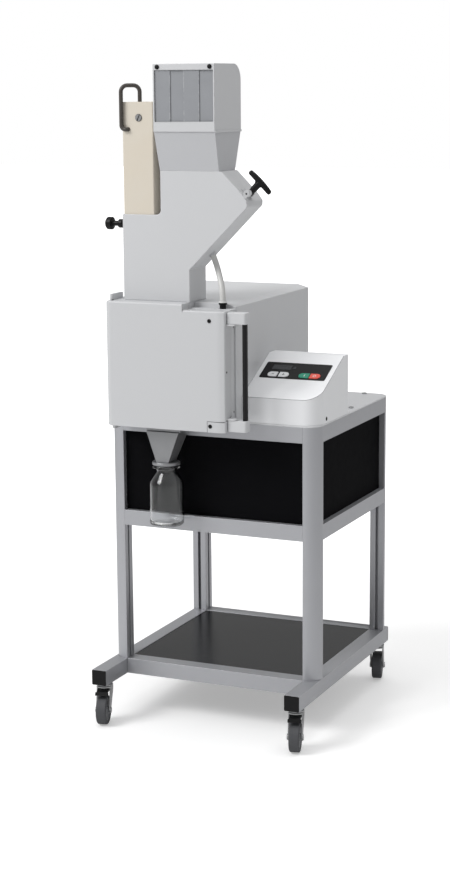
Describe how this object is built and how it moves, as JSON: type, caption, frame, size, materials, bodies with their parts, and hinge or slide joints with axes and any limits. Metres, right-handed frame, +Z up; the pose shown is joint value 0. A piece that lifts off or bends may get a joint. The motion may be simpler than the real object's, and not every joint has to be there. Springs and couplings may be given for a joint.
{
  "type": "laboratory cutting mill",
  "caption": "Floor-standing laboratory cutting mill with feed hopper, plunger, hinged door, control console and collecting bottle on a wheeled profile stand.",
  "frame": {"origin": "on the floor under the middle of the machine's bounding box, wheels included", "axes": "+Z up; the front with the door and the keypad faces -Y; +X is to the right seen from the front"},
  "size_m": [0.5914, 0.7146, 1.677],
  "materials": {
    "anodised_aluminium": "satin anodised",
    "black_plastic": "fine matt",
    "black_panel": "satin",
    "shelf_grey": "semi-gloss",
    "table_grey": "fine powder coat",
    "zinc": "zinc plated",
    "tread_grey": "matt",
    "light_grey": "fine powder coat",
    "console_grey": "fine matt",
    "machined_steel": "machined",
    "hard_steel": "ground",
    "motor_grey": "satin",
    "ivory": "smooth",
    "clear_glass": "clear",
    "strip_rubber": "translucent",
    "seal_rubber": "matt",
    "hose_grey": "smooth",
    "keypad_black": "film",
    "key_grey": "smooth",
    "key_green": "smooth",
    "key_red": "smooth",
    "display_dark": "gloss"
  },
  "bodies": {
    "mill_and_stand": {"frame_legs": "anodised_aluminium", "base_rails": "anodised_aluminium", "rail_end_caps": "black_plastic", "table_rails": "anodised_aluminium", "infill_panels": "black_panel", "shelf_panel": "shelf_grey", "table_top": "table_grey", "caster_heads": "zinc", "chamber_housing": "light_grey", "cutting_bars": "hard_steel", "sieve": "machined_steel", "bearing_housing": "motor_grey", "motor": "motor_grey", "motor_cover": "light_grey", "power_inlet": "black_plastic", "chute": "light_grey", "hopper_funnel": "light_grey", "hood": "light_grey", "curtain_strips": "strip_rubber", "index_bush": "black_plastic", "t_handle_bracket": "machined_steel", "hose": "hose_grey", "hose_glands": "black_plastic", "hinge_straps": "motor_grey", "lever_strikers": "machined_steel", "outlet_funnel": "machined_steel", "bottle_collar": "light_grey", "bottle_gasket": "seal_rubber", "console_shell": "console_grey", "keypad_panel": "keypad_black", "display": "display_dark", "fixing_screws": "black_plastic"},
    "cutting_rotor": {"rotor": "hard_steel", "drive_shaft": "machined_steel"},
    "door": {"door_shell": "light_grey", "door_liner": "machined_steel", "lever_brackets": "light_grey", "door_screws": "black_plastic"},
    "locking_lever": {"lever_arms": "light_grey", "lever_grip": "black_plastic"},
    "feed_plunger": {"plunger": "ivory", "plunger_handle": "black_plastic"},
    "index_pull": {"index_knob": "black_plastic"},
    "tilt_handle": {"t_handle": "black_plastic"},
    "collecting_bottle": {"bottle": "clear_glass"},
    "fork_front_left": {"caster_fork_front_left": "zinc"},
    "wheel_front_left": {"caster_wheel_front_left": "tread_grey"},
    "pedal_left": {"brake_pedal_left": "black_plastic"},
    "fork_front_right": {"caster_fork_front_right": "zinc"},
    "wheel_front_right": {"caster_wheel_front_right": "tread_grey"},
    "pedal_right": {"brake_pedal_right": "black_plastic"},
    "fork_rear_left": {"caster_fork_rear_left": "zinc"},
    "wheel_rear_left": {"caster_wheel_rear_left": "tread_grey"},
    "fork_rear_right": {"caster_fork_rear_right": "zinc"},
    "wheel_rear_right": {"caster_wheel_rear_right": "tread_grey"},
    "key_minus": {"button_minus": "key_grey"},
    "key_plus": {"button_plus": "key_grey"},
    "key_start": {"button_start": "key_green"},
    "key_stop": {"button_stop": "key_red"}
  },
  "joints": [
    {"name": "door_hinge", "type": "hinge", "parent": "mill_and_stand", "child": "door", "pos_m": [-0.236, -0.27755, 0.7873], "axis": [0, 0, 1], "range_deg": [-110, 0]},
    {"name": "lever_turn", "type": "hinge", "parent": "door", "child": "locking_lever", "pos_m": [0.101, -0.28855, 0.79], "axis": [0, 0, 1], "range_deg": [-90, 0]},
    {"name": "plunger_slide", "type": "slide", "parent": "mill_and_stand", "child": "feed_plunger", "axis": [0, 0, 1], "range_m": [-0.19, 0]},
    {"name": "index_pull_slide", "type": "slide", "parent": "mill_and_stand", "child": "index_pull", "axis": [-1, 0, 0], "range_m": [0, 0.008], "stiffness_N_per_m": 800, "springref_m": -0.004},
    {"name": "t_handle_tilt", "type": "hinge", "parent": "mill_and_stand", "child": "tilt_handle", "pos_m": [0.12531, -0.23655, 1.36971], "axis": [0, 1, 0], "range_deg": [-45, 45]},
    {"name": "rotor_spin", "type": "hinge", "parent": "mill_and_stand", "child": "cutting_rotor", "pos_m": [-0.11, -0.20655, 0.925], "axis": [0, 1, 0], "continuous": true},
    {"name": "bottle_turn", "type": "hinge", "parent": "mill_and_stand", "child": "collecting_bottle", "pos_m": [-0.104, -0.25155, 0.5315], "axis": [0, 0, 1], "continuous": true},
    {"name": "swivel_front_left", "type": "hinge", "parent": "mill_and_stand", "child": "fork_front_left", "pos_m": [-0.268, -0.29795, 0.0987], "axis": [0, 0, 1], "continuous": true},
    {"name": "roll_front_left", "type": "hinge", "parent": "fork_front_left", "child": "wheel_front_left", "pos_m": [-0.26256, -0.31823, 0.0375], "axis": [0.9659, 0.2588, 0], "continuous": true},
    {"name": "brake_left", "type": "hinge", "parent": "fork_front_left", "child": "pedal_left", "pos_m": [-0.26451, -0.31099, 0.091], "axis": [0.9659, 0.2588, 0], "range_deg": [0, 8]},
    {"name": "swivel_front_right", "type": "hinge", "parent": "mill_and_stand", "child": "fork_front_right", "pos_m": [0.268, -0.29795, 0.0987], "axis": [0, 0, 1], "continuous": true},
    {"name": "roll_front_right", "type": "hinge", "parent": "fork_front_right", "child": "wheel_front_right", "pos_m": [0.27343, -0.31823, 0.0375], "axis": [0.9659, 0.2588, 0], "continuous": true},
    {"name": "brake_right", "type": "hinge", "parent": "fork_front_right", "child": "pedal_right", "pos_m": [0.27149, -0.31099, 0.091], "axis": [0.9659, 0.2588, 0], "range_deg": [0, 8]},
    {"name": "swivel_rear_left", "type": "hinge", "parent": "mill_and_stand", "child": "fork_rear_left", "pos_m": [-0.268, 0.29795, 0.0987], "axis": [0, 0, 1], "continuous": true},
    {"name": "roll_rear_left", "type": "hinge", "parent": "fork_rear_left", "child": "wheel_rear_left", "pos_m": [-0.27343, 0.31823, 0.0375], "axis": [0.9659, 0.2588, 0], "continuous": true},
    {"name": "swivel_rear_right", "type": "hinge", "parent": "mill_and_stand", "child": "fork_rear_right", "pos_m": [0.268, 0.29795, 0.0987], "axis": [0, 0, 1], "continuous": true},
    {"name": "roll_rear_right", "type": "hinge", "parent": "fork_rear_right", "child": "wheel_rear_right", "pos_m": [0.26256, 0.31823, 0.0375], "axis": [0.9659, 0.2588, 0], "continuous": true},
    {"name": "press_minus", "type": "slide", "parent": "mill_and_stand", "child": "key_minus", "axis": [0, 0.4392, -0.8984], "range_m": [0, 0.001], "stiffness_N_per_m": 1500, "springref_m": -0.0005},
    {"name": "press_plus", "type": "slide", "parent": "mill_and_stand", "child": "key_plus", "axis": [0, 0.4392, -0.8984], "range_m": [0, 0.001], "stiffness_N_per_m": 1500, "springref_m": -0.0005},
    {"name": "press_start", "type": "slide", "parent": "mill_and_stand", "child": "key_start", "axis": [0, 0.4392, -0.8984], "range_m": [0, 0.001], "stiffness_N_per_m": 1500, "springref_m": -0.0005},
    {"name": "press_stop", "type": "slide", "parent": "mill_and_stand", "child": "key_stop", "axis": [0, 0.4392, -0.8984], "range_m": [0, 0.001], "stiffness_N_per_m": 1500, "springref_m": -0.0005}
  ]
}
